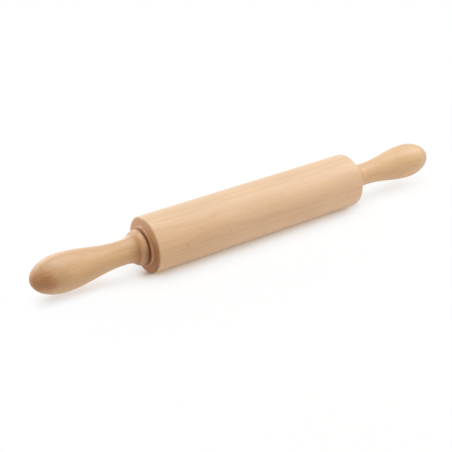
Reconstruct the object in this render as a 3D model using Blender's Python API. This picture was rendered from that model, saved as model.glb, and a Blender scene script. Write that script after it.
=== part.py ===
# Wooden rolling pin: a turned barrel that spins on a steel axle between two fixed handles.
# Metres, +Z up. The axle runs along X, and the origin is the barrel's middle on the axle's centre line.
# A shielded ball bearing sits in each end of the barrel, and an insert screws each handle to the axle.
import math

import bmesh
import bpy
from mathutils import Vector

# Barrel
BARREL_LENGTH = 0.250
BARREL_DIAMETER = 0.0565
BARREL_EDGE_ROUND = 0.0018
BEARING_LEDGE = 0.00315

# Turned boss on each end of the barrel. A hollow cove runs round its foot, inside the flat end face.
END_FACE_WIDTH = 0.0075
BOSS_HEIGHT = 0.0030
BOSS_LIP = 0.0008
BOSS_COVE = 0.0022
BOSS_EDGE_ROUND = 0.0004

# Open gap between the boss and the handle's collar
COLLAR_GAP = 0.0012

# Handle, from its collar to its tip: a bead, a cove down to a short neck, a swell and a rounded end
BEAD_WIDTH = 0.0075
BEAD_CREST = 0.0023
BEAD_BACK_FALL = 0.0009
BEAD_FRONT_FALL = 0.00205
BEAD_SETBACK = 0.00105
QUIRK_DEPTH = 0.0003
COVE_LENGTH = 0.0113
COVE_SWEEP = math.radians(60)
NECK_DIAMETER = 0.0236
NECK_LENGTH = 0.0052
SWELL_LENGTH = 0.0578
PALM_DIAMETER = 0.0367
TIP_LENGTH = 0.0302

# Axle, with a thick middle between two journals that reach into the handles
JOURNAL_DIAMETER = 0.008
AXLE_SHOULDER = 0.001
AXLE_GRIP = 0.045
AXLE_CHAMFER = 0.0008
AXLE_HOLE_SPARE = 0.0015

# Threaded insert in each handle
INSERT_WALL = 0.00185
INSERT_LENGTH = 0.020

# Ball bearing, one at each end
BALL_COUNT = 7
BALL_DIAMETER = 0.00397
GROOVE_HALF_ANGLE = math.radians(50)
INNER_RACE_WALL = 0.001065
OUTER_RACE_WALL = 0.001215
RACE_CHAMFER = 0.0003
SHIELD_THICKNESS = 0.0003
SHIELD_LAND = 0.0008
SHIELD_INSET = 0.0002
CAGE_WEB = 0.000415
CAGE_LIP = 0.0013
BEARING_RECESS = 0.0005

# Clearances
SEAT_GAP = 0.00015
RUNNING_GAP = 0.0003

# Smoothness
BARREL_STEPS = 48
HANDLE_STEPS = 32
METAL_STEPS = 24
BALL_STEPS = (10, 6)

# Radii that follow from the sizes, from the axle outwards
JOURNAL_RADIUS = JOURNAL_DIAMETER / 2
AXLE_BORE_RADIUS = JOURNAL_RADIUS + SEAT_GAP
INSERT_RADIUS = AXLE_BORE_RADIUS + INSERT_WALL
BALL_RADIUS = BALL_DIAMETER / 2
GROOVE_RADIUS = BALL_RADIUS + RUNNING_GAP
BALL_CIRCLE_RADIUS = AXLE_BORE_RADIUS + INNER_RACE_WALL + GROOVE_RADIUS
INNER_SHOULDER_RADIUS = BALL_CIRCLE_RADIUS - GROOVE_RADIUS * math.cos(GROOVE_HALF_ANGLE)
OUTER_SHOULDER_RADIUS = BALL_CIRCLE_RADIUS + GROOVE_RADIUS * math.cos(GROOVE_HALF_ANGLE)
SHIELD_RADIUS = OUTER_SHOULDER_RADIUS + SHIELD_LAND
BEARING_RADIUS = BALL_CIRCLE_RADIUS + GROOVE_RADIUS + OUTER_RACE_WALL
BEARING_SEAT_RADIUS = BEARING_RADIUS + SEAT_GAP
BARREL_RADIUS = BARREL_DIAMETER / 2
BOSS_FOOT_RADIUS = BARREL_RADIUS - END_FACE_WIDTH
BOSS_RADIUS = BOSS_FOOT_RADIUS - BOSS_COVE
BEAD_RADIUS = BOSS_RADIUS - BEAD_SETBACK

# Widths and places along X that follow from the sizes, from the barrel's middle outwards
SHIELD_OUTER_X = GROOVE_RADIUS + CAGE_WEB + RUNNING_GAP + SHIELD_THICKNESS
BEARING_HALF_WIDTH = SHIELD_OUTER_X + SHIELD_INSET
FACE_X = BARREL_LENGTH / 2
BOSS_X = FACE_X + BOSS_HEIGHT
COLLAR_X = BOSS_X + COLLAR_GAP
BEARING_X = BOSS_X - BEARING_RECESS - BEARING_HALF_WIDTH
AXLE_SHOULDER_X = BEARING_X - BEARING_HALF_WIDTH - SEAT_GAP
AXLE_END_X = COLLAR_X + AXLE_GRIP
CREST_X = COLLAR_X + BEAD_CREST
COVE_X = COLLAR_X + BEAD_WIDTH
NECK_X = COVE_X + COVE_LENGTH
SWELL_X = NECK_X + NECK_LENGTH
PALM_X = SWELL_X + SWELL_LENGTH
TIP_X = PALM_X + TIP_LENGTH


def clear_scene():
    for old in list(bpy.data.objects):
        bpy.data.objects.remove(old, do_unlink=True)


def make_material(name, color, roughness, metallic=0.0):
    material = bpy.data.materials.new(name)
    material.use_nodes = True
    shader = material.node_tree.nodes["Principled BSDF"]
    shader.inputs["Base Color"].default_value = (*color, 1.0)
    shader.inputs["Roughness"].default_value = roughness
    shader.inputs["Metallic"].default_value = metallic
    return material


def make_empty(name, parent=None, x=0.0, turn=0.0):
    """Makes an empty on the axle's centre line. Turned half round about Z, its +X points left."""
    empty = bpy.data.objects.new(name, None)
    empty.empty_display_size = 0.02
    bpy.context.scene.collection.objects.link(empty)
    empty.parent = parent
    empty.location = (x, 0, 0)
    empty.rotation_euler = (0, 0, turn)
    return empty


def add_object(name, bm, material, parent):
    mesh = bpy.data.meshes.new(name)
    bm.to_mesh(mesh)
    bm.free()
    mesh.materials.append(material)
    mesh.shade_smooth()
    mesh.set_sharp_from_angle(angle=math.radians(35))
    obj = bpy.data.objects.new(name, mesh)
    bpy.context.scene.collection.objects.link(obj)
    obj.parent = parent
    return obj


def arc(center_x, center_r, half_x, half_r, start, end, count):
    """Points (x, radius) on an ellipse. The angle runs from the axle's direction towards outward."""
    points = []
    for i in range(count + 1):
        angle = start + (end - start) * i / count
        points.append((center_x + half_x * math.cos(angle), center_r + half_r * math.sin(angle)))
    return points


def turned(profile, steps, closed=True):
    """Revolves a profile of (x, radius) about X. An open profile starts and ends on the centre line."""
    bm = bmesh.new()
    verts = [bm.verts.new((x, 0.0, r)) for x, r in profile]
    pairs = list(zip(verts, verts[1:]))
    if closed:
        pairs.append((verts[-1], verts[0]))
    edges = [bm.edges.new(pair) for pair in pairs]
    # Half a step round, so that a flat facet and not a ridge lies at the bottom
    half_step = math.pi / steps
    for vert in verts:
        x, _, r = vert.co
        vert.co = Vector((x, -r * math.sin(half_step), r * math.cos(half_step)))
    bmesh.ops.spin(
        bm,
        geom=verts + edges,
        cent=(0, 0, 0),
        axis=(1, 0, 0),
        angle=2 * math.pi,
        steps=steps,
        use_merge=True,
    )
    bmesh.ops.remove_doubles(bm, verts=bm.verts, dist=1e-6)
    bmesh.ops.recalc_face_normals(bm, faces=bm.faces)
    return bm


def ring_profile(inner_radius, outer_radius, low_x, high_x):
    return [(low_x, inner_radius), (low_x, outer_radius), (high_x, outer_radius), (high_x, inner_radius)]


def barrel_end_profile():
    """One end of the barrel, from its outer wall over the edge, face and boss to the bore's wall."""
    edge = BARREL_EDGE_ROUND
    rim = BOSS_EDGE_ROUND
    cove_height = BOSS_HEIGHT - BOSS_LIP
    quarter = math.pi / 2
    points = arc(FACE_X - edge, BARREL_RADIUS - edge, edge, edge, quarter, 0, 3)
    # The cove hollows out the corner between the face and the boss
    cove_x = FACE_X + cove_height
    points += arc(cove_x, BOSS_FOOT_RADIUS, cove_height, BOSS_COVE, 2 * quarter, 3 * quarter, 4)
    points += arc(BOSS_X - rim, BOSS_RADIUS - rim, rim, rim, quarter, 0, 2)
    points += [(BOSS_X, BEARING_SEAT_RADIUS + rim), (BOSS_X - rim, BEARING_SEAT_RADIUS)]
    points += [(AXLE_SHOULDER_X, BEARING_SEAT_RADIUS)]
    points += [(AXLE_SHOULDER_X, BEARING_SEAT_RADIUS - BEARING_LEDGE)]
    return points


def make_barrel(material, parent):
    right = barrel_end_profile()
    left = [(-x, r) for x, r in reversed(right)]
    add_object("barrel", turned(right + left, BARREL_STEPS), material, parent)


def shoulder(width, fall):
    """Radius and sweep of a circle that falls by fall over width from its highest point."""
    size = (width**2 + fall**2) / (2 * fall)
    return size, math.asin(width / size)


def handle_outline():
    """Outside of the right handle, from the collar's back edge to the tip."""
    up = math.pi / 2
    # The bead is two stretches of circles that meet at its crest
    back, back_sweep = shoulder(BEAD_CREST, BEAD_BACK_FALL)
    front, front_sweep = shoulder(BEAD_WIDTH - BEAD_CREST, BEAD_FRONT_FALL)
    points = arc(CREST_X, BEAD_RADIUS - back, back, back, up + back_sweep, up, 2)[:-1]
    points += arc(CREST_X, BEAD_RADIUS - front, front, front, up, up - front_sweep, 4)
    # The cove falls from the bead's foot and levels out at the neck
    neck = NECK_DIAMETER / 2
    foot = BEAD_RADIUS - BEAD_FRONT_FALL - QUIRK_DEPTH
    reach = COVE_LENGTH / math.sin(COVE_SWEEP)
    drop = (foot - neck) / (1 - math.cos(COVE_SWEEP))
    points += arc(NECK_X, neck + drop, reach, drop, 3 * up - COVE_SWEEP, 3 * up, 5)
    # The neck swells into the palm in one smooth curve, which ends in half an ellipse
    palm = PALM_DIAMETER / 2
    swell_steps = 7
    for i in range(swell_steps):
        t = i / swell_steps
        ease = t * t * (3 - 2 * t)
        points.append((SWELL_X + SWELL_LENGTH * t, neck + (palm - neck) * ease))
    tip = arc(PALM_X, 0.0, TIP_LENGTH, palm, up, 0, 9)
    return points + tip[:-1] + [(TIP_X, 0.0)]


def make_handle(name, material, parent):
    insert_hole = INSERT_RADIUS + SEAT_GAP
    insert_floor = COLLAR_X + INSERT_LENGTH + SEAT_GAP
    hole_end = AXLE_END_X + AXLE_HOLE_SPARE
    bore = [(hole_end, 0.0), (hole_end, AXLE_BORE_RADIUS), (insert_floor, AXLE_BORE_RADIUS)]
    bore += [(insert_floor, insert_hole), (COLLAR_X, insert_hole)]
    add_object(name, turned(bore + handle_outline(), HANDLE_STEPS, closed=False), material, parent)


def make_axle(material, parent):
    """Steel rod whose thick middle stops against the inner races."""
    half = [
        (AXLE_SHOULDER_X, JOURNAL_RADIUS + AXLE_SHOULDER),
        (AXLE_SHOULDER_X, JOURNAL_RADIUS),
        (AXLE_END_X - AXLE_CHAMFER, JOURNAL_RADIUS),
        (AXLE_END_X, JOURNAL_RADIUS - AXLE_CHAMFER),
        (AXLE_END_X, 0.0),
    ]
    left = [(-x, r) for x, r in reversed(half)]
    add_object("axle", turned(left + half, METAL_STEPS, closed=False), material, parent)


def make_insert(name, material, parent):
    profile = ring_profile(AXLE_BORE_RADIUS, INSERT_RADIUS, COLLAR_X + SEAT_GAP, COLLAR_X + INSERT_LENGTH)
    add_object(name, turned(profile, METAL_STEPS), material, parent)


def make_spacer(name, material, parent):
    """Washer between the inner race and the collar, which keeps the gap at the collar open."""
    low_x = BOSS_X - BEARING_RECESS + SEAT_GAP
    high_x = COLLAR_X - SEAT_GAP
    profile = ring_profile(AXLE_BORE_RADIUS, INNER_SHOULDER_RADIUS - SEAT_GAP, low_x, high_x)
    add_object(name, turned(profile, METAL_STEPS), material, parent)


def groove(middle):
    """Ball groove of a race: an arc about the ball's centre, deepest at the angle given."""
    low = middle - GROOVE_HALF_ANGLE
    high = middle + GROOVE_HALF_ANGLE
    return arc(0, BALL_CIRCLE_RADIUS, GROOVE_RADIUS, GROOVE_RADIUS, low, high, 4)


def inner_race_profile():
    half = BEARING_HALF_WIDTH
    points = [(-half, AXLE_BORE_RADIUS + RACE_CHAMFER), (-half, INNER_SHOULDER_RADIUS)]
    points += groove(3 * math.pi / 2)
    points += [(half, INNER_SHOULDER_RADIUS), (half, AXLE_BORE_RADIUS + RACE_CHAMFER)]
    points += [(half - RACE_CHAMFER, AXLE_BORE_RADIUS), (RACE_CHAMFER - half, AXLE_BORE_RADIUS)]
    return points


def outer_race_profile():
    half = BEARING_HALF_WIDTH
    shield_seat = SHIELD_RADIUS + SEAT_GAP
    step_x = SHIELD_OUTER_X - SHIELD_THICKNESS - SEAT_GAP
    points = [(RACE_CHAMFER - half, BEARING_RADIUS), (half - RACE_CHAMFER, BEARING_RADIUS)]
    points += [(half, BEARING_RADIUS - RACE_CHAMFER), (half, shield_seat)]
    points += [(step_x, shield_seat), (step_x, OUTER_SHOULDER_RADIUS)]
    points += groove(math.pi / 2)
    points += [(-step_x, OUTER_SHOULDER_RADIUS), (-step_x, shield_seat)]
    points += [(-half, shield_seat), (-half, BEARING_RADIUS - RACE_CHAMFER)]
    return points


def make_shields(name, material, parent):
    """Pressed plates that close both sides of the bearing and clear the inner race."""
    inner = INNER_SHOULDER_RADIUS + RUNNING_GAP
    low_x = SHIELD_OUTER_X - SHIELD_THICKNESS
    for side, sign in (("inside", -1), ("outside", 1)):
        profile = ring_profile(inner, SHIELD_RADIUS, sign * low_x, sign * SHIELD_OUTER_X)
        add_object(f"{name}_{side}", turned(profile, METAL_STEPS), material, parent)


def ball_centers():
    step = 2 * math.pi / BALL_COUNT
    return [
        Vector((0, BALL_CIRCLE_RADIUS * math.cos(step * i), BALL_CIRCLE_RADIUS * math.sin(step * i)))
        for i in range(BALL_COUNT)
    ]


def make_balls(name, material, parent):
    mesh = bpy.data.meshes.new("bearing_ball")
    bm = bmesh.new()
    bmesh.ops.create_uvsphere(bm, u_segments=BALL_STEPS[0], v_segments=BALL_STEPS[1], radius=BALL_RADIUS)
    bm.to_mesh(mesh)
    bm.free()
    mesh.materials.append(material)
    mesh.shade_smooth()
    for i, center in enumerate(ball_centers(), start=1):
        ball = bpy.data.objects.new(f"{name}_{i}", mesh)
        bpy.context.scene.collection.objects.link(ball)
        ball.parent = parent
        ball.location = center


def make_cage(name, material, parent):
    """Moulded crown cage: a ring with a pocket for each ball, open towards the handle."""
    inner = INNER_SHOULDER_RADIUS + RUNNING_GAP
    outer = OUTER_SHOULDER_RADIUS - RUNNING_GAP
    profile = ring_profile(inner, outer, -GROOVE_RADIUS - CAGE_WEB, CAGE_LIP)
    cage = add_object(name, turned(profile, 4 * BALL_COUNT), material, parent)
    pockets = bmesh.new()
    for center in ball_centers():
        made = bmesh.ops.create_uvsphere(
            pockets, u_segments=BALL_STEPS[0], v_segments=BALL_STEPS[1], radius=GROOVE_RADIUS
        )
        bmesh.ops.translate(pockets, verts=made["verts"], vec=center)
    cutter = add_object(name + "_pockets", pockets, material, parent)
    cutter.hide_render = True
    cutter.display_type = "WIRE"
    cut = cage.modifiers.new("pockets", "BOOLEAN")
    cut.operation = "DIFFERENCE"
    cut.object = cutter


def main():
    clear_scene()
    beech = make_material("beech", (0.72, 0.50, 0.30), 0.55)
    beech_handle = make_material("beech_handle", (0.68, 0.45, 0.26), 0.50)
    axle_steel = make_material("axle_steel", (0.62, 0.62, 0.63), 0.32, 1.0)
    race_steel = make_material("race_steel", (0.70, 0.70, 0.72), 0.18, 1.0)
    ball_steel = make_material("ball_steel", (0.78, 0.78, 0.80), 0.08, 1.0)
    insert_brass = make_material("insert_brass", (0.75, 0.58, 0.28), 0.35, 1.0)
    cage_nylon = make_material("cage_nylon", (0.85, 0.82, 0.74), 0.45)

    roller = make_empty("roller_assembly")
    grip = make_empty("grip_assembly")
    make_barrel(beech, roller)
    make_axle(axle_steel, grip)
    for side, sign, turn in (("left", -1, math.pi), ("right", 1, 0.0)):
        seat = make_empty(f"bearing_seat_{side}", roller, sign * BEARING_X, turn)
        outer = turned(outer_race_profile(), METAL_STEPS)
        add_object(f"outer_race_{side}", outer, race_steel, seat)
        make_shields(f"bearing_shield_{side}", race_steel, seat)

        end = make_empty(f"grip_end_{side}", grip, turn=turn)
        make_handle(f"handle_{side}", beech_handle, end)
        make_insert(f"threaded_insert_{side}", insert_brass, end)
        make_spacer(f"spacer_washer_{side}", axle_steel, end)
        journal = make_empty(f"journal_{side}", end, BEARING_X)
        inner = turned(inner_race_profile(), METAL_STEPS)
        add_object(f"inner_race_{side}", inner, race_steel, journal)

        cage = make_empty(f"cage_assembly_{side}", None, sign * BEARING_X, turn)
        make_cage(f"ball_cage_{side}", cage_nylon, cage)
        make_balls(f"bearing_ball_{side}", ball_steel, cage)


main()
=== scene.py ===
# Looks of a wooden rolling pin: turned beech, steel axle and bearings, a pale floor and soft light.
# Metres, in the frame's own axes. The pin's axle runs along X and the floor lies under the barrel.
import math

import bpy
from mathutils import Matrix, Vector


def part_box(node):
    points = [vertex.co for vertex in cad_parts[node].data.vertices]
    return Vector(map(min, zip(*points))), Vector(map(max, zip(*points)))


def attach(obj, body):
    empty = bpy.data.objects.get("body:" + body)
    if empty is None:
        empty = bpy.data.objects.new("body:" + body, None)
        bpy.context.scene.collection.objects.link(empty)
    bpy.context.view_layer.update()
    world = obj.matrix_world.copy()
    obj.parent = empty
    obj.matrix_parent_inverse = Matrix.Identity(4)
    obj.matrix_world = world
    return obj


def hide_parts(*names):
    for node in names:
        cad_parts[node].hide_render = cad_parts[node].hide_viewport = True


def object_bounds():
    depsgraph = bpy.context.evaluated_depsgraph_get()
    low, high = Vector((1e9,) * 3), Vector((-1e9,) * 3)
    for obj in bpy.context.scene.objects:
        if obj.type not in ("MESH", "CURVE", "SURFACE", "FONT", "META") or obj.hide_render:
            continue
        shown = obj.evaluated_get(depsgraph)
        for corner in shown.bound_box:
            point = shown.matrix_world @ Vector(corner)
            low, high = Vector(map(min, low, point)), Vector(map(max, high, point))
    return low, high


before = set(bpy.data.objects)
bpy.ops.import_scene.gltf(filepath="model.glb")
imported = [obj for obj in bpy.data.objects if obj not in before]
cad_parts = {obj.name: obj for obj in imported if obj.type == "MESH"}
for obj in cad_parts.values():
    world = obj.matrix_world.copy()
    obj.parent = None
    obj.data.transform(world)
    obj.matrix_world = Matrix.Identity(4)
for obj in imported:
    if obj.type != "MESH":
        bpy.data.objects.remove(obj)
CAD_LOW, CAD_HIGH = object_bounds()

# Camera, as fitted to the photograph
IMAGE_SIZE = 452
FOCAL_PIXELS = 945
SENSOR_WIDTH = 36
CAMERA_DISTANCE = 0.9526
CAMERA_TURN = math.radians(36.2)
CAMERA_RISE = math.radians(26.5)
CAMERA_CLIP_START = 0.01
CAMERA_CLIP_END = 50
MIDDLE_PIXEL = (251.6, 210.5)

# Barrel
BARREL_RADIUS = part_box("barrel")[1].z
BOSS_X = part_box("barrel")[1].x
BOSS_HEIGHT = 0.0030
FACE_X = BOSS_X - BOSS_HEIGHT
BARREL_EDGE_ROUND = 0.0018
BOSS_FOOT_RADIUS = 0.02075
BOSS_RADIUS = 0.01855
BOSS_LIP = 0.0008
BOSS_EDGE_ROUND = 0.0004
BEARING_SEAT_RADIUS = 0.01115
BEARING_LEDGE = 0.00315
AXLE_PAST_BEARING_STOP = 0.05385
BEARING_STOP_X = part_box("axle")[1].x - AXLE_PAST_BEARING_STOP

# Handle
COLLAR_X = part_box("handle_right")[0].x
TIP_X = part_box("handle_right")[1].x
BEAD_WIDTH = 0.0075
BEAD_CREST = 0.0023
BEAD_BACK_FALL = 0.0009
BEAD_FRONT_FALL = 0.00205
BEAD_RADIUS = 0.0175
ARRIS_X = COLLAR_X + BEAD_WIDTH
ARRIS_RADIUS = BEAD_RADIUS - BEAD_FRONT_FALL
QUIRK_DEPTH = 0.0003
COVE_LENGTH = 0.0113
COVE_SWEEP = math.radians(60)
NECK_X = ARRIS_X + COVE_LENGTH
NECK_LENGTH = 0.0052
NECK_RADIUS = 0.0118
TIP_LENGTH = 0.0302
PALM_X = TIP_X - TIP_LENGTH
PALM_RADIUS = 0.01835
INSERT_HOLE_RADIUS = 0.00615
INSERT_HOLE_DEPTH = 0.02015
AXLE_HOLE_RADIUS = 0.00415
AXLE_HOLE_DEPTH = 0.0465

# Directions in an outline, as angles from the axle's own direction towards outward
OUTWARD = math.pi / 2
BACKWARD = math.pi
INWARD = 3 * math.pi / 2

# Steps round each turned piece and along each stretch of its outline
BARREL_STEPS = 192
HANDLE_STEPS = 144
BARREL_EDGE_STEPS = 10
BARREL_FACE_STEPS = 4
BARREL_WALL_STEPS = 24
BOSS_COVE_STEPS = 10
BOSS_EDGE_STEPS = 5
BEAD_BACK_STEPS = 8
BEAD_FRONT_STEPS = 12
COVE_STEPS = 20
SWELL_STEPS = 32
TIP_STEPS = 36

ON_AXIS = 1e-9
SHARP_ANGLE = math.radians(30)
HIDDEN_SHARE = 0.12

# Materials: every size of a figure is in millimetres, along X and across it
MILLIMETRES = 1000.0
NOISE_LOW = 0.3
NOISE_MIDDLE = 0.5
NOISE_HIGH = 0.7

# Beech figure. A range gives the two values between which a part of it sets in
WANDER_SIZE = (110, 45)
WANDER_REACH = 7.0
PATCH_SIZE = (60, 17)
PATCH_RANGE = (0.30, 0.70)
STREAK_SIZE = (150, 2.4)
STREAK_RANGE = (0.30, 0.72)
FIBRE_SIZE = (16, 0.4)
FIBRE_RANGE = (0.35, 0.75)
PORE_SIZE = (2.2, 0.12)
PORE_RANGE = (0.60, 0.72)
RING_SPACING = 2.7
RING_DRIFT = 1.6
RING_DRIFT_SIZE = (260, 22)
LATE_WOOD_START = 0.35
LATE_WOOD_DARKEST = 0.95
RAY_LENGTH = 4.2
RAY_HEIGHT = 11.0
RAY_SPACING = 0.62
RAY_THINNEST = 0.12
RAY_THICKEST = 0.30
RAY_EDGE = (0.65, 1.0)
FLECK_RANGE = (0.35, 0.95)
FLAKE_RANGE = (0.55, 0.10)
END_GRAIN_RANGE = (0.20, 0.90)
CHIP_SIZE = (1.3, 1.3)
CHIP_RANGE = (0.60, 0.68)
TURNING_PITCH = 0.3
TURNING_DRIFT = 40

# Beech tones: how strong each is, and the colour that darkens the wood or lies over it
LATE_WOOD = (0.26, (0.86, 0.79, 0.72))
DARK_STREAK = (0.28, (0.84, 0.77, 0.70))
DARK_FIBRE = (0.22, (0.86, 0.80, 0.74))
PORE = (0.35, (0.74, 0.66, 0.58))
RAY_FLECK = (0.35, (0.70, 0.56, 0.46))
RAY_FLAKE = (0.12, (0.90, 0.76, 0.60))
# Pale edges: wear, and partly a painted highlight
WORN_EDGE_AND_HIGHLIGHT = (0.20, (0.84, 0.64, 0.42))
NICK = (0.60, (0.66, 0.50, 0.35))
# End grain's own tone, with painted shade low down and towards -Y, and lighter above and towards +Y
END_GRAIN_SHADED = (0.655, 0.38, 0.125)
END_GRAIN_ABOVE = (0.97, 0.78, 0.52)
END_GRAIN_UP = (0.5, 0.87)
END_GRAIN_HEIGHTS = (-20.0, 28.0)
END_GRAIN_UNEVEN = 16.0

# Painted shade in the hollows, stains and marks, and wear
# Painted shade: tones that darken the hollows, the crevice by each collar and the boss's rim
HOLLOW_SHADE = (0.72, 0.50, 0.24)
CREVICE_SHADE = (0.46, 0.29, 0.13)
BOSS_RIM_SHADE = (0.62, 0.42, 0.22)
KNOT = (0.26, 0.16, 0.10)
FAINT_MARK = (0.72, 0.55, 0.40)
# Makes the barrel warmer and a little darker low at the front of its near end
WARM_END = (0.98, 0.93, 0.83)
# Dark spot on the front of the left tip: partly its end grain, partly painted shade
PALM_SPOT_AND_SHADE = (0.69, 0.48, 0.23)
PALM_MARK = (0.72, 0.56, 0.36)
# How unevenly the painted shade in the hollows lies, and where a side counts as facing up
SHADE_UNEVEN = (0.85, 1.0)
SHADE_TOP_RANGE = (0.1, 0.75)
STAIN_RANGE = (0.2, 1.0)
STAIN_PATCHY = (-0.2, 0.2)
STAIN_STREAKY = (0.15, -0.15)
WEAR_RANGE = (0.3, 1.6)
WEAR_UNEVEN = (-0.3, 0.5)
WORN_RIM_INSET = 0.0005

# Beech surface
WOOD_ROUGHNESS = (0.40, 0.50)
WORN_SMOOTHER = 0.08
END_GRAIN_ROUGHER = 0.14
FLAKE_SMOOTHER = 0.12
WOOD_RELIEF = 0.00003
FIBRE_RELIEF = 0.5
TURNING_RELIEF = 0.35
PORE_RELIEF = 0.6
FLECK_RELIEF = 0.25
NICK_RELIEF = 3.0
WAX_SHEEN = {
    "Specular_IOR_Level": 0.9,
    "Sheen_Weight": 0.25,
    "Sheen_Roughness": 0.5,
    "Sheen_Tint": (1.0, 0.97, 0.93, 1.0),
}

# Metal and nylon
METAL_HAZE_SIZE = (6, 6)
METAL_HAZE_TONE = 0.88
METAL_HAZE_ROUGHNESS = 0.04
METAL_SMOOTHER = 0.75
METAL_ROUGHER = 1.25
METAL_RELIEF = 0.000004
NYLON_GRAIN_SIZE = (0.25, 0.25)
NYLON_FLOW_SIZE = (3, 3)
NYLON_PALE = (0.80, 0.77, 0.69)
NYLON_DEEP = (0.73, 0.69, 0.60)
NYLON_ROUGHNESS = (0.38, 0.50)
NYLON_RELIEF = 0.00001

# Floor. A share says how much of the object's real shadow shows on its white, from 0 to 1
FLOOR_HALF_SIZE = 12.0
PAPER = (0.93, 0.90, 0.86)
PAPER_ROUGHNESS = 0.9
SHADOW_REACH = 0.05
SHADOW_SAMPLES = 16
CREVICE_SHARE = 0.94
CREVICE_FADE = 3.5
OPEN_SHARE = 0.06
END_SHADOW_Y = -0.0045
END_SHADOW_FADE = 0.0095
END_SHADOW_PEAK = 1.2
GRIP_SHADOW_Y = 0.010
GRIP_SHADOW_HALF_WIDTH = 0.021
GRIP_SHADOW_MIDDLE = 0.62
GRIP_SHADOW_SIDE = 0.04
GRIP_SHADOW_TIP = (-0.246, -0.214)
GRIP_SHADOW_COLLAR = (-0.185, -0.145)
SHADOW_END = (0.30, 0.55)
GLOW_NEAR_WOOD = (1.0, 0.82, 0.64)
GLOW_END = (0.05, 0.38)

# Light
WHITE = (1.0, 1.0, 1.0)
SKY_LEVEL = 0.08
SEEING_RAYS = ("Is Camera Ray", "Is Glossy Ray", "Is Transmission Ray")


def add_to_scene(name, data):
    """A new object in the scene that shows this mesh, lamp or camera."""
    obj = bpy.data.objects.new(name, data)
    bpy.context.scene.collection.objects.link(obj)
    return obj


def arc(center_x, center_r, half_x, half_r, start, end, count):
    """Points (x, radius) on an ellipse. The angle runs from the axle's direction towards outward."""
    points = []
    for i in range(count + 1):
        angle = start + (end - start) * i / count
        points.append((center_x + half_x * math.cos(angle), center_r + half_r * math.sin(angle)))
    return points


def line(start, end, count):
    """Points between two (x, radius) points, without the last one."""
    return [
        (start[0] + (end[0] - start[0]) * i / count, start[1] + (end[1] - start[1]) * i / count)
        for i in range(count)
    ]


def mirrored(points):
    """The same points at the other end, in reverse order, so that the outline runs on."""
    return [(-x, r) for x, r in reversed(points)]


def turn_points(profile, steps):
    """Vertices of a turned profile, and each ring's vertex numbers. A ring on the axle is one vertex."""
    verts = []
    rings = []
    for x, r in profile:
        if r < ON_AXIS:
            rings.append([len(verts)] * steps)
            verts.append((x, 0.0, 0.0))
            continue
        rings.append([len(verts) + i for i in range(steps)])
        for i in range(steps):
            angle = 2 * math.pi * i / steps
            verts.append((x, r * math.sin(angle), r * math.cos(angle)))
    return verts, rings


def map_heights(profile, shown_count):
    """Height on the map at each point of a closed profile, which ends where it starts."""
    heights = [0.0]
    for i, (a, b) in enumerate(zip(profile, profile[1:] + profile[:1])):
        share = HIDDEN_SHARE if i >= shown_count else 1.0
        heights.append(heights[-1] + math.hypot(b[0] - a[0], b[1] - a[1]) * share)
    return heights


def without_repeats(corners):
    """Corners of a face, each vertex once: beside the axle a face has three."""
    kept = []
    for corner in corners:
        if corner[0] not in [other[0] for other in kept]:
            kept.append(corner)
    return kept


def turn_faces(rings, heights, steps):
    """Faces between the rings of a closed profile, and the place on the map of each of their corners."""
    faces = []
    places = []
    for i, low in enumerate(rings):
        high = rings[(i + 1) % len(rings)]
        if low[0] == low[1] and high[0] == high[1]:
            continue
        for j in range(steps):
            k = (j + 1) % steps
            corners = [(low[j], j, i), (high[j], j, i + 1), (high[k], j + 1, i + 1), (low[k], j + 1, i)]
            kept = without_repeats(corners)
            faces.append([vertex for vertex, _, _ in kept])
            places += [(column / steps, heights[row] / heights[-1]) for _, column, row in kept]
    return faces, places


def lathe(name, shown, hidden, steps):
    """Revolves a closed profile of (x, radius) about X. shown is its outside and hidden its bore.

    Its map has the way round across and the profile upwards, with the hidden part pressed together."""
    profile = shown + hidden
    verts, rings = turn_points(profile, steps)
    faces, places = turn_faces(rings, map_heights(profile, len(shown)), steps)
    mesh = bpy.data.meshes.new(name)
    mesh.from_pydata(verts, [], faces)
    layer = mesh.uv_layers.new(name="OFBake")
    for spot, place in zip(layer.uv, places):
        spot.vector = place
    mesh.shade_smooth()
    mesh.set_sharp_from_angle(angle=SHARP_ANGLE)
    return add_to_scene(name, mesh)


def barrel_end():
    """Right end of the barrel, from its outer wall over the edge, face and boss to the bore's mouth."""
    edge = BARREL_EDGE_ROUND
    rim = BOSS_EDGE_ROUND
    cove_x = BOSS_HEIGHT - BOSS_LIP
    cove_r = BOSS_FOOT_RADIUS - BOSS_RADIUS
    points = arc(FACE_X - edge, BARREL_RADIUS - edge, edge, edge, OUTWARD, 0, BARREL_EDGE_STEPS)
    points += line((FACE_X, BARREL_RADIUS - edge), (FACE_X, BOSS_FOOT_RADIUS), BARREL_FACE_STEPS)[1:]
    points += arc(FACE_X + cove_x, BOSS_FOOT_RADIUS, cove_x, cove_r, BACKWARD, INWARD, BOSS_COVE_STEPS)
    points += arc(BOSS_X - rim, BOSS_RADIUS - rim, rim, rim, OUTWARD, 0, BOSS_EDGE_STEPS)
    points += [(BOSS_X, BEARING_SEAT_RADIUS + rim)]
    return points


def make_barrel():
    right = barrel_end()
    left = mirrored(right)
    wall = line((left[-1][0], BARREL_RADIUS), (right[0][0], BARREL_RADIUS), BARREL_WALL_STEPS)[1:]
    half_bore = [
        (BOSS_X - BOSS_EDGE_ROUND, BEARING_SEAT_RADIUS),
        (BEARING_STOP_X, BEARING_SEAT_RADIUS),
        (BEARING_STOP_X, BEARING_SEAT_RADIUS - BEARING_LEDGE),
    ]
    return lathe("barrel_turned", left + wall + right, half_bore + mirrored(half_bore), BARREL_STEPS)


def shoulder(width, fall):
    """Radius and sweep of a circle that falls by fall over width from its highest point."""
    size = (width**2 + fall**2) / (2 * fall)
    return size, math.asin(width / size)


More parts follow.
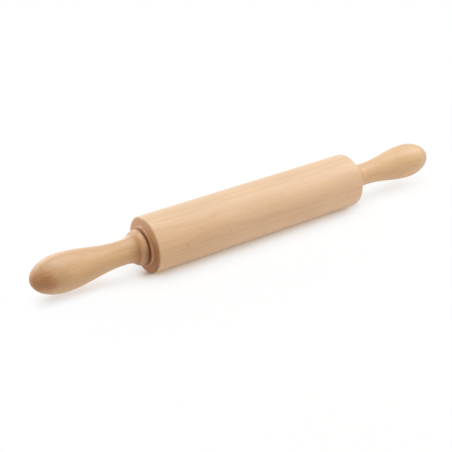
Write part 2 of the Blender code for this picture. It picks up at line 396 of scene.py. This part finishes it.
def bead_outline():
    """The collar's bead, from its back edge over the crest to the arris in front."""
    crest_x = COLLAR_X + BEAD_CREST
    back, back_sweep = shoulder(BEAD_CREST, BEAD_BACK_FALL)
    front, front_sweep = shoulder(BEAD_WIDTH - BEAD_CREST, BEAD_FRONT_FALL)
    rise = arc(crest_x, BEAD_RADIUS - back, back, back, OUTWARD + back_sweep, OUTWARD, BEAD_BACK_STEPS)
    fall = arc(crest_x, BEAD_RADIUS - front, front, front, OUTWARD, OUTWARD - front_sweep, BEAD_FRONT_STEPS)
    return rise[:-1] + fall


def cove_outline():
    """The cove from the quirk under the arris down to the neck, which it meets without a kink."""
    foot = ARRIS_RADIUS - QUIRK_DEPTH
    half_x = COVE_LENGTH / math.sin(COVE_SWEEP)
    half_r = (foot - NECK_RADIUS) / (1 - math.cos(COVE_SWEEP))
    return arc(NECK_X, NECK_RADIUS + half_r, half_x, half_r, INWARD - COVE_SWEEP, INWARD, COVE_STEPS)


def swell_outline():
    """The swell from the end of the straight neck up to the palm, without the last point."""
    start_x = NECK_X + NECK_LENGTH
    points = []
    for i in range(SWELL_STEPS):
        t = i / SWELL_STEPS
        ease = t * t * (3 - 2 * t)
        points.append((start_x + (PALM_X - start_x) * t, NECK_RADIUS + (PALM_RADIUS - NECK_RADIUS) * ease))
    return points


def tip_outline():
    """Half an ellipse from the palm to the tip, whose last point lies on the axle."""
    return arc(PALM_X, 0.0, TIP_LENGTH, PALM_RADIUS, OUTWARD, 0, TIP_STEPS)[:-1] + [(TIP_X, 0.0)]


def make_handle(side, sign):
    """A turned handle, made as the right one and turned round for the left."""
    outline = bead_outline() + cove_outline() + swell_outline() + tip_outline()
    hole_end = COLLAR_X + AXLE_HOLE_DEPTH
    step_x = COLLAR_X + INSERT_HOLE_DEPTH
    hole = [
        (hole_end, 0.0),
        (hole_end, AXLE_HOLE_RADIUS),
        (step_x, AXLE_HOLE_RADIUS),
        (step_x, INSERT_HOLE_RADIUS),
        (COLLAR_X, INSERT_HOLE_RADIUS),
    ]
    handle = lathe(f"handle_{side}_turned", outline, hole, HANDLE_STEPS)
    if sign < 0:
        handle.data.transform(Matrix.Rotation(math.pi, 4, "Z"))
    return handle


def colour(rgb):
    return (*rgb, 1.0)


class Nodes:
    """A node tree, with short calls for the nodes used here."""

    def __init__(self, tree):
        self.tree = tree

    def feed(self, socket, value):
        if isinstance(value, bpy.types.NodeSocket):
            self.tree.links.new(value, socket)
        else:
            socket.default_value = value

    def add(self, kind, inputs, output=0, **settings):
        made = self.tree.nodes.new(kind)
        for name, value in settings.items():
            setattr(made, name, value)
        for key, value in inputs.items():
            self.feed(made.inputs[key], value)
        return made.outputs[output]

    def math(self, operation, *values, clamp=False):
        inputs = dict(enumerate(values))
        return self.add("ShaderNodeMath", inputs, operation=operation, use_clamp=clamp)

    def plus(self, a, b):
        return self.math("ADD", a, b)

    def minus(self, a, b):
        return self.math("SUBTRACT", a, b)

    def times(self, a, b):
        return self.math("MULTIPLY", a, b)

    def over(self, a, b):
        return self.math("DIVIDE", a, b)

    def vector(self, operation, *values, output=0):
        return self.add("ShaderNodeVectorMath", dict(enumerate(values)), output, operation=operation)

    def scaled(self, vector, scale):
        return self.vector("MULTIPLY", vector, scale)

    def length(self, vector):
        return self.vector("LENGTH", vector, output="Value")

    def join(self, x, y, z):
        return self.add("ShaderNodeCombineXYZ", {"X": x, "Y": y, "Z": z})

    def split(self, vector):
        made = self.tree.nodes.new("ShaderNodeSeparateXYZ")
        self.feed(made.inputs[0], vector)
        return made.outputs["X"], made.outputs["Y"], made.outputs["Z"]

    def noise(self, vector, detail=2.0, roughness=0.5, output="Fac"):
        inputs = {"Vector": vector, "Scale": 1.0, "Detail": detail, "Roughness": roughness}
        return self.add("ShaderNodeTexNoise", inputs, output)

    def figure(self, place, size, **settings):
        """Noise of this size along X and across it."""
        along, across = size
        return self.noise(self.scaled(place, (1 / along, 1 / across, 1 / across)), **settings)

    def smooth(self, value, low, high, to_low=0.0, to_high=1.0):
        inputs = {"Value": value, "From Min": low, "From Max": high, "To Min": to_low, "To Max": to_high}
        return self.add("ShaderNodeMapRange", inputs, interpolation_type="SMOOTHSTEP")

    def spread(self, value, low, high, to_low=0.0, to_high=1.0):
        inputs = {"Value": value, "From Min": low, "From Max": high, "To Min": to_low, "To Max": to_high}
        return self.add("ShaderNodeMapRange", inputs)

    def varied(self, noise, low=0.0, high=1.0):
        """A value between low and high that goes with the noise."""
        return self.spread(noise, NOISE_LOW, NOISE_HIGH, low, high)

    def mix(self, factor, low, high):
        return self.add("ShaderNodeMix", {"Factor": factor, "A": low, "B": high}, data_type="FLOAT")

    def blend(self, factor, low, high, mode="MIX"):
        inputs = {"Factor": factor, "A": low, "B": high}
        return self.add("ShaderNodeMix", inputs, "Result", data_type="RGBA", blend_type=mode)

    def mix_shader(self, factor, low, high):
        return self.add("ShaderNodeMixShader", {0: factor, 1: low, 2: high})

    def seen(self, otherwise):
        """1 for what the camera, a reflection or glass sees, and the given value for all other light."""
        path = self.tree.nodes.new("ShaderNodeLightPath")
        value = otherwise
        for ray in SEEING_RAYS:
            value = self.math("MAXIMUM", path.outputs[ray], value)
        return value


class Shading(Nodes):
    """One material's node tree."""

    def __init__(self, name):
        self.material = bpy.data.materials.new(name)
        self.material.use_nodes = True
        super().__init__(self.material.node_tree)
        self.shader = self.tree.nodes["Principled BSDF"]

    def millimetres(self):
        """The place on the piece, in millimetres from the middle of the pin."""
        return self.scaled(self.add("ShaderNodeTexCoord", {}, "Object"), (MILLIMETRES,) * 3)

    def bump(self, height, distance):
        return self.add("ShaderNodeBump", {"Height": height, "Distance": distance, "Strength": 1.0})

    def surface(self, **values):
        for name, value in values.items():
            self.feed(self.shader.inputs[name.replace("_", " ")], value)
        return self.material


class Beech(Shading):
    """Fine sanded beech with its grain along X, cut out of a log whose pith lies beside the piece.

    Rings, rays and fibres are solid in the log, so a flat-sawn side shows short dark flecks, a
    quarter-sawn side shows broad flakes, and the end grain shows arcs and radial lines. The cut is
    the pith's distance in millimetres, the piece's turn in the log and its shift to another place there."""

    def __init__(self, name, cut, edges):
        super().__init__(name)
        pith_distance, pith_turn, shift = cut
        self.place = self.millimetres()
        place_x, self.side_y, self.side_z = self.split(self.place)
        self.from_middle = self.math("ABSOLUTE", place_x)
        self.from_axle = self.length(self.join(0.0, self.side_y, self.side_z))
        normal = self.add("ShaderNodeTexCoord", {}, "Normal")
        self.facing_up = self.split(normal)[2]
        facing = self.turned(normal, pith_turn)
        self.end_grain = self.smooth(self.math("ABSOLUTE", self.split(facing)[0]), *END_GRAIN_RANGE)
        self.grain = self.wandering(self.vector("ADD", self.turned(self.place, pith_turn), shift))
        self.find_fibres()
        self.find_rings_and_rays(pith_distance, facing)
        self.find_wear(edges)

    def turned(self, vector, angle):
        inputs = {"Vector": vector, "Angle": angle}
        return self.add("ShaderNodeVectorRotate", inputs, rotation_type="X_AXIS")

    def wandering(self, in_log):
        """The grain wanders a little along the piece."""
        wander = self.figure(in_log, WANDER_SIZE, detail=1.0, output="Color")
        wander = self.vector("SUBTRACT", wander, (NOISE_MIDDLE,) * 3)
        return self.vector("ADD", in_log, self.scaled(wander, (0.0, WANDER_REACH, WANDER_REACH)))

    def find_fibres(self):
        """Broad warm and cool patches, long streaks, fine fibres and pores."""
        self.patches = self.figure(self.grain, PATCH_SIZE, detail=2.0)
        self.streaks = self.figure(self.grain, STREAK_SIZE, detail=3.0, roughness=0.6)
        self.fibres = self.figure(self.grain, FIBRE_SIZE, detail=3.0, roughness=0.6)
        self.pores = self.smooth(self.figure(self.grain, PORE_SIZE, detail=1.0), *PORE_RANGE)

    def find_rings_and_rays(self, pith_distance, facing):
        """Rings lie round the pith and rays point at it. A side that faces the pith is flat-sawn, and cuts
        across the rays, which show as dark flecks. A quarter-sawn side lies along them and shows flakes."""
        along, across, upward = self.split(self.grain)
        across = self.plus(across, pith_distance)
        radius = self.math("SQRT", self.plus(self.times(across, across), self.times(upward, upward)))
        around = self.times(self.math("ARCTAN2", upward, across), pith_distance)
        outward = self.vector("NORMALIZE", self.join(0.0, across, upward))
        flat_sawn = self.math("ABSOLUTE", self.vector("DOT_PRODUCT", outward, facing, output="Value"))
        rays = self.rays(along, radius, around)
        self.late = self.late_wood(radius)
        self.flecks = self.times(rays, self.smooth(flat_sawn, *FLECK_RANGE))
        self.flakes = self.times(rays, self.smooth(flat_sawn, *FLAKE_RANGE))

    def late_wood(self, radius):
        """The darker end of each growth ring, up to a thin line."""
        drift = self.figure(self.grain, RING_DRIFT_SIZE, detail=1.0)
        phase = self.plus(self.over(radius, RING_SPACING), self.times(drift, RING_DRIFT))
        ring = self.math("FRACT", phase)
        rise = self.smooth(ring, LATE_WOOD_START, LATE_WOOD_DARKEST)
        return self.times(rise, self.smooth(ring, LATE_WOOD_DARKEST, 1.0, 1.0, 0.0))

    def rays(self, along, radius, around):
        """Thin upright sheets of uneven size, one in each cell of the log."""
        place = self.join(
            self.over(along, RAY_LENGTH), self.over(radius, RAY_HEIGHT), self.over(around, RAY_SPACING),
        )
        cells = self.tree.nodes.new("ShaderNodeTexVoronoi")
        self.feed(cells.inputs["Vector"], place)
        self.feed(cells.inputs["Scale"], 1.0)
        reach = self.spread(self.split(cells.outputs["Color"])[0], 0.0, 1.0, RAY_THINNEST, RAY_THICKEST)
        return self.smooth(self.over(cells.outputs["Distance"], reach), *RAY_EDGE, 1.0, 0.0)

    def find_wear(self, edges):
        """Wear along the edges, which also paints a highlight on them. An edge is a circle round the axle,
        as a distance from the middle and a radius.
        """
        self.wear_and_highlight = 0.0
        for edge_x, edge_radius in edges:
            off_x = self.minus(self.from_middle, MILLIMETRES * edge_x)
            off_radius = self.minus(self.from_axle, MILLIMETRES * edge_radius)
            off = self.length(self.join(off_x, off_radius, 0.0))
            off = self.plus(off, self.varied(self.streaks, *WEAR_UNEVEN))
            self.wear_and_highlight = self.math("MAXIMUM", self.wear_and_highlight, self.smooth(off, *WEAR_RANGE, 1.0, 0.0))
        chips = self.figure(self.place, CHIP_SIZE, detail=2.0)
        self.nicks = self.times(self.wear_and_highlight, self.smooth(chips, *CHIP_RANGE))

    def darkened(self, wood, where, tone):
        strength, rgb = tone
        return self.blend(self.times(where, strength), wood, colour(rgb), "MULTIPLY")

    def covered(self, wood, where, tone):
        strength, rgb = tone
        return self.blend(self.times(where, strength), wood, colour(rgb))

    def clean(self, pale, deep):
        """New wood, before any use."""
        wood = self.blend(self.smooth(self.patches, *PATCH_RANGE), colour(pale), colour(deep))
        wood = self.darkened(wood, self.late, LATE_WOOD)
        wood = self.darkened(wood, self.smooth(self.streaks, *STREAK_RANGE), DARK_STREAK)
        wood = self.darkened(wood, self.smooth(self.fibres, *FIBRE_RANGE), DARK_FIBRE)
        wood = self.darkened(wood, self.pores, PORE)
        wood = self.darkened(wood, self.flecks, RAY_FLECK)
        wood = self.covered(wood, self.flakes, RAY_FLAKE)
        return self.blend(self.end_grain, wood, self.end_grain_and_shade(wood))

    def end_grain_and_shade(self, wood):
        """End grain is darker and warmer, and painted shade darkens it most low down on the -Y side, while
        it is lighter up and towards +Y.
        """
        share_y, share_z = END_GRAIN_UP
        upper = self.plus(self.times(self.side_y, share_y), self.times(self.side_z, share_z))
        upper = self.plus(upper, self.times(self.minus(self.patches, NOISE_MIDDLE), END_GRAIN_UNEVEN))
        above = self.smooth(upper, *END_GRAIN_HEIGHTS)
        tone = self.blend(above, colour(END_GRAIN_SHADED), colour(END_GRAIN_ABOVE))
        return self.blend(1.0, wood, tone, "MULTIPLY")

    def with_hollow_shade(self, wood, hollow_shades):
        """Painted shade darkens the hollows and crevices, a little unevenly. Each row has two distances
        from the middle, the share at each, how much of it a side that faces up keeps (above 1 if it has
        more), and a tone."""
        uneven = self.varied(self.streaks, *SHADE_UNEVEN)
        for low, high, share_low, share_high, left_on_top, tone in hollow_shades:
            painted_shade = self.smooth(
                self.from_middle, MILLIMETRES * low, MILLIMETRES * high, share_low, share_high,
            )
            # Painted shade: a side that faces up keeps its own share of it, set by how light falls on it
            painted_shade = self.times(painted_shade, self.smooth(self.facing_up, *SHADE_TOP_RANGE, 1.0, left_on_top))
            center = MILLIMETRES * (low + high) / 2
            within = self.math("COMPARE", self.from_middle, center, MILLIMETRES * (high - low) / 2)
            painted_shade = self.times(self.times(painted_shade, within), uneven)
            wood = self.blend(painted_shade, wood, colour(tone), "MULTIPLY")
        return wood

    def stained_and_shaded(self, wood, stains_and_shade):
        """A stain or a spot of painted shade is a place and a reach in millimetres, a share and a tone."""
        for center, reach, share, tone in stains_and_shade:
            off = self.length(self.vector("SUBTRACT", self.place, center))
            off = self.plus(self.over(off, reach), self.varied(self.patches, *STAIN_PATCHY))
            off = self.plus(off, self.varied(self.streaks, *STAIN_STREAKY))
            wood = self.blend(self.smooth(off, *STAIN_RANGE, share, 0.0), wood, colour(tone), "MULTIPLY")
        return wood

    def roughness(self):
        rough = self.varied(self.fibres, *WOOD_ROUGHNESS)
        rough = self.minus(rough, self.times(self.wear_and_highlight, WORN_SMOOTHER))
        rough = self.plus(rough, self.times(self.end_grain, END_GRAIN_ROUGHER))
        return self.math("SUBTRACT", rough, self.times(self.flakes, FLAKE_SMOOTHER), clamp=True)

    def relief(self):
        """Fibres and turning marks, which run round the sides and in circles on the end faces."""
        feed = self.mix(self.end_grain, self.from_middle, self.from_axle)
        mark_y = self.over(self.side_y, TURNING_DRIFT)
        mark_z = self.over(self.side_z, TURNING_DRIFT)
        turning = self.noise(self.join(self.over(feed, TURNING_PITCH), mark_y, mark_z))
        height = self.plus(self.times(self.fibres, FIBRE_RELIEF), self.times(turning, TURNING_RELIEF))
        height = self.minus(height, self.times(self.pores, PORE_RELIEF))
        height = self.minus(height, self.times(self.flecks, FLECK_RELIEF))
        height = self.minus(height, self.times(self.nicks, NICK_RELIEF))
        return self.bump(height, WOOD_RELIEF)


def beech(name, tones, cut, hollow_shades, stains_and_shade, edges):
    """Waxed beech with painted shade in its hollows, stains and spots of painted shade, and edges worn
    pale, partly as a painted highlight, with small dark nicks.
    """
    s = Beech(name, cut, edges)
    wood = s.stained_and_shaded(s.with_hollow_shade(s.clean(*tones), hollow_shades), stains_and_shade)
    # Pale edges: wear, and partly a painted highlight
    wood = s.covered(wood, s.wear_and_highlight, WORN_EDGE_AND_HIGHLIGHT)
    wood = s.darkened(wood, s.nicks, NICK)
    return s.surface(Base_Color=wood, Roughness=s.roughness(), Normal=s.relief(), **WAX_SHEEN)


def metal(name, tint, roughness, mark_size):
    """Bright metal with a faint haze, and marks of this size along X and across it."""
    s = Shading(name)
    place = s.millimetres()
    marks = s.figure(place, mark_size, detail=3.0)
    haze = s.figure(place, METAL_HAZE_SIZE, detail=2.0)
    dark = tuple(METAL_HAZE_TONE * c for c in tint)
    shade = s.blend(s.varied(haze), colour(tint), colour(dark))
    rough = s.varied(marks, METAL_SMOOTHER * roughness, METAL_ROUGHER * roughness)
    rough = s.plus(rough, s.times(haze, METAL_HAZE_ROUGHNESS))
    return s.surface(Base_Color=shade, Metallic=1.0, Roughness=rough, Normal=s.bump(marks, METAL_RELIEF))


def nylon(name):
    s = Shading(name)
    place = s.millimetres()
    grain = s.figure(place, NYLON_GRAIN_SIZE, detail=2.0)
    flow = s.figure(place, NYLON_FLOW_SIZE, detail=1.0)
    shade = s.blend(s.varied(flow), colour(NYLON_PALE), colour(NYLON_DEEP))
    rough = s.varied(grain, *NYLON_ROUGHNESS)
    return s.surface(Base_Color=shade, Roughness=rough, Normal=s.bump(grain, NYLON_RELIEF))


def shadow_by_ends(s, spot_x, spot_y):
    """Share of shadow on the floor at the foot of each end of the barrel."""
    end_x = s.minus(s.math("ABSOLUTE", spot_x), FACE_X)
    end_y = s.minus(spot_y, END_SHADOW_Y)
    from_end = s.length(s.join(end_x, end_y, 0.0))
    share = s.math("EXPONENT", s.over(from_end, -END_SHADOW_FADE))
    return s.math("MINIMUM", s.times(share, END_SHADOW_PEAK), 1.0)


def shadow_under_grip(s, spot_x, spot_y):
    """Share of shadow under the left handle, in a band that fades out at its tip."""
    aside = s.math("ABSOLUTE", s.minus(spot_y, GRIP_SHADOW_Y))
    share = s.smooth(aside, 0.0, GRIP_SHADOW_HALF_WIDTH, GRIP_SHADOW_MIDDLE, GRIP_SHADOW_SIDE)
    return s.times(share, s.smooth(spot_x, *GRIP_SHADOW_TIP))


def shadow_share(s, openness):
    """Share of shadow at each place of the floor. Openness is 0 in a crevice and 1 out in the open."""
    spot_x, spot_y, _ = s.split(s.add("ShaderNodeNewGeometry", {}, "Position"))
    fade = s.math("EXPONENT", s.times(openness, -CREVICE_FADE))
    share = s.plus(s.times(fade, CREVICE_SHARE), OPEN_SHARE)
    share = s.math("MAXIMUM", share, shadow_by_ends(s, spot_x, spot_y))
    past_collar = s.smooth(spot_x, *GRIP_SHADOW_COLLAR)
    share = s.mix(past_collar, shadow_under_grip(s, spot_x, spot_y), share)
    away = s.length(s.join(spot_x, spot_y, 0.0))
    return s.times(share, s.smooth(away, *SHADOW_END, 1.0, 0.0))


def floor_paper():
    """Pale paper in plain light. To the camera and in reflections it is white, with the object's real
    shadow mixed in where the photograph shows it, and a faint warm glow next to the wood."""
    s = Shading("floor_paper")
    s.surface(Base_Color=colour(PAPER), Roughness=PAPER_ROUGHNESS)
    paper = s.shader.outputs[0]
    openness = s.add("ShaderNodeAmbientOcclusion", {"Distance": SHADOW_REACH}, 1, samples=SHADOW_SAMPLES)
    glow = s.blend(s.smooth(openness, *GLOW_END), colour(GLOW_NEAR_WOOD), colour(WHITE))
    white = s.add("ShaderNodeEmission", {"Color": glow, "Strength": 1.0})
    shadowed = s.mix_shader(shadow_share(s, openness), white, paper)
    ground = s.mix_shader(s.seen(0.0), paper, shadowed)
    s.feed(s.tree.nodes["Material Output"].inputs["Surface"], ground)
    return s.material


def make_floor():
    """A large plane that the barrel lies on."""
    size = FLOOR_HALF_SIZE
    height = CAD_LOW.z
    corners = [(-size, -size, height), (size, -size, height), (size, size, height), (-size, size, height)]
    mesh = bpy.data.meshes.new("floor")
    mesh.from_pydata(corners, [], [(0, 1, 2, 3)])
    floor = add_to_scene("floor", mesh)
    floor.data.materials.append(floor_paper())


def camera_axes(toward):
    """The camera's right, up and forward, where toward points from the barrel's middle to the camera.

    It looks at the barrel's middle, then turns so that the middle lies at its own place in the picture."""
    right = Vector((math.cos(CAMERA_TURN), -math.sin(CAMERA_TURN), 0.0))
    up = right.cross(-toward)
    aim = Vector((MIDDLE_PIXEL[0] - IMAGE_SIZE / 2, -(MIDDLE_PIXEL[1] - IMAGE_SIZE / 2), FOCAL_PIXELS))
    aim.normalize()
    yaw = math.atan2(aim.x, aim.z)
    pitch = math.asin(aim.y)
    ahead = -toward * math.cos(yaw) - right * math.sin(yaw)
    right = right * math.cos(yaw) - toward * math.sin(yaw)
    forward = ahead * math.cos(pitch) - up * math.sin(pitch)
    up = up * math.cos(pitch) + ahead * math.sin(pitch)
    return right, up, forward


def make_camera():
    toward = Vector((
        -math.cos(CAMERA_RISE) * math.sin(CAMERA_TURN),
        -math.cos(CAMERA_RISE) * math.cos(CAMERA_TURN),
        math.sin(CAMERA_RISE),
    ))
    right, up, forward = camera_axes(toward)
    data = bpy.data.cameras.new("camera")
    data.sensor_width = SENSOR_WIDTH
    data.lens = FOCAL_PIXELS * SENSOR_WIDTH / IMAGE_SIZE
    data.clip_start = CAMERA_CLIP_START
    data.clip_end = CAMERA_CLIP_END
    camera = add_to_scene("camera", data)
    turn = Matrix((right, up, -forward)).transposed().to_4x4()
    camera.matrix_world = Matrix.Translation(toward * CAMERA_DISTANCE) @ turn
    bpy.context.scene.camera = camera


def make_lamp(name, place, size, watts, tint):
    """A rectangular soft box that points at the barrel's middle."""
    data = bpy.data.lights.new(name, "AREA")
    data.shape = "RECTANGLE"
    data.size, data.size_y = size
    data.energy = watts
    data.color = tint
    lamp = add_to_scene(name, data)
    lamp.location = place
    lamp.rotation_euler = (-Vector(place)).to_track_quat("-Z", "Y").to_euler()


def make_lamps():
    make_lamp("overhead", place=(0.0, 0.1, 1.2), size=(1.0, 1.0), watts=11.6, tint=(0.96, 1.0, 1.03))
    make_lamp("right", place=(1.1, -0.1, 0.8), size=(0.8, 0.8), watts=6.9, tint=(0.98, 0.99, 1.03))
    make_lamp("backdrop", place=(-0.2, 1.3, 0.45), size=(1.2, 0.5), watts=5.6, tint=(0.96, 0.99, 1.05))
    make_lamp("far_left", place=(-0.9, 0.9, 0.45), size=(0.8, 0.5), watts=5.2, tint=(0.97, 1.0, 1.02))
    make_lamp("front", place=(0.2, -1.2, 0.6), size=(1.0, 0.8), watts=4.4, tint=(1.16, 1.0, 0.84))


def make_world():
    """A soft grey sky as light, and white where the camera or a reflection sees it."""
    world = bpy.data.worlds.new("studio")
    world.use_nodes = True
    sky = Nodes(world.node_tree)
    background = world.node_tree.nodes["Background"]
    sky.feed(background.inputs["Color"], colour(WHITE))
    sky.feed(background.inputs["Strength"], sky.seen(SKY_LEVEL))
    bpy.context.scene.world = world


def barrel_beech():
    return beech(
        "barrel_beech",
        tones=((0.735, 0.492, 0.286), (0.695, 0.456, 0.260)),
        cut=(62.0, math.radians(215), (0, 0, 0)),
        hollow_shades=[
            # Painted shade on the face round the boss and on the boss's rim
            (FACE_X + 0.0002, BOSS_X - 0.0001, 0.50, 0.50, 1.8, HOLLOW_SHADE),
            (BOSS_X - 0.0005, BOSS_X + 0.0003, 0.3, 0.6, 2.2, BOSS_RIM_SHADE),
        ],
        stains_and_shade=[
            ((-125.0, -20.7, -14.7), 2.1, 1.0, KNOT),
            ((-94.2, -28.1, 3.0), 2.6, 0.30, FAINT_MARK),
            ((-45.1, -28.1, 2.6), 2.8, 0.30, FAINT_MARK),
            # Warmer and a little darker low down at the front of the near end
            ((-110.0, -28.0, -14.0), 70.0, 0.8, WARM_END),
        ],
        edges=[(FACE_X - WORN_RIM_INSET, BARREL_RADIUS - WORN_RIM_INSET)],
    )


def left_beech():
    return beech(
        "left_beech",
        tones=((0.662, 0.406, 0.189), (0.612, 0.357, 0.157)),
        cut=(48.0, math.radians(70), (310, 3, 5)),
        hollow_shades=[
            # Painted shade in the crevice by the collar, over the bead and down the cove
            (COLLAR_X + 0.0002, COLLAR_X + 0.0028, 1.0, 1.0, 0.25, CREVICE_SHADE),
            (COLLAR_X + 0.0028, COLLAR_X + 0.0072, 1.0, 0.0, 0.15, CREVICE_SHADE),
            (ARRIS_X, NECK_X + 0.004, 1.0, 0.0, 0.0, HOLLOW_SHADE),
        ],
        stains_and_shade=[
            # Dark spot on the front of the tip: partly end grain, partly painted shade
            ((-230.5, -14.0, 3.0), 13.5, 0.85, PALM_SPOT_AND_SHADE),
            ((-218.0, -16.5, 3.0), 13.0, 0.30, PALM_MARK),
        ],
        edges=[(ARRIS_X, ARRIS_RADIUS)],
    )


def right_beech():
    return beech(
        "right_beech",
        tones=((0.676, 0.434, 0.213), (0.638, 0.392, 0.185)),
        cut=(55.0, math.radians(160), (730, -4, 2)),
        hollow_shades=[
            # Fainter painted shade in the crevice by the collar and down the cove
            (COLLAR_X + 0.0002, COLLAR_X + 0.0070, 0.6, 0.0, 0.25, CREVICE_SHADE),
            (ARRIS_X, NECK_X, 0.35, 0.0, 0.25, HOLLOW_SHADE),
        ],
        stains_and_shade=[],
        edges=[(ARRIS_X, ARRIS_RADIUS)],
    )


def dress_barrel():
    barrel = make_barrel()
    barrel.data.materials.append(barrel_beech())
    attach(barrel, "roller")
    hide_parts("barrel")


def dress_handles():
    for side, sign, wood in (("left", -1, left_beech()), ("right", 1, right_beech())):
        handle = make_handle(side, sign)
        handle.data.materials.append(wood)
        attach(handle, "grip")
        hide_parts(f"handle_{side}")


def dress_inside():
    """Gives the CAD's own metal and nylon pieces their materials."""
    drawn = metal("drawn_steel", tint=(0.62, 0.62, 0.63), roughness=0.30, mark_size=(12.0, 0.15))
    ground = metal("ground_steel", tint=(0.70, 0.70, 0.72), roughness=0.20, mark_size=(0.12, 4.0))
    polished = metal("polished_steel", tint=(0.78, 0.78, 0.80), roughness=0.08, mark_size=(1.0, 1.0))
    brass = metal("machined_brass", tint=(0.75, 0.55, 0.24), roughness=0.32, mark_size=(0.10, 5.0))
    finishes = {
        "axle": drawn,
        "spacer_washer": ground,
        "outer_race": ground,
        "inner_race": ground,
        "bearing_shield": ground,
        "bearing_ball": polished,
        "threaded_insert": brass,
        "ball_cage": nylon("moulded_nylon"),
    }
    for name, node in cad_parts.items():
        for start, finish in finishes.items():
            if name.startswith(start):
                node.data.materials.clear()
                node.data.materials.append(finish)


make_camera()
make_floor()
make_world()
make_lamps()
bpy.context.scene.view_settings.view_transform = "Standard"
dress_barrel()
dress_handles()
dress_inside()
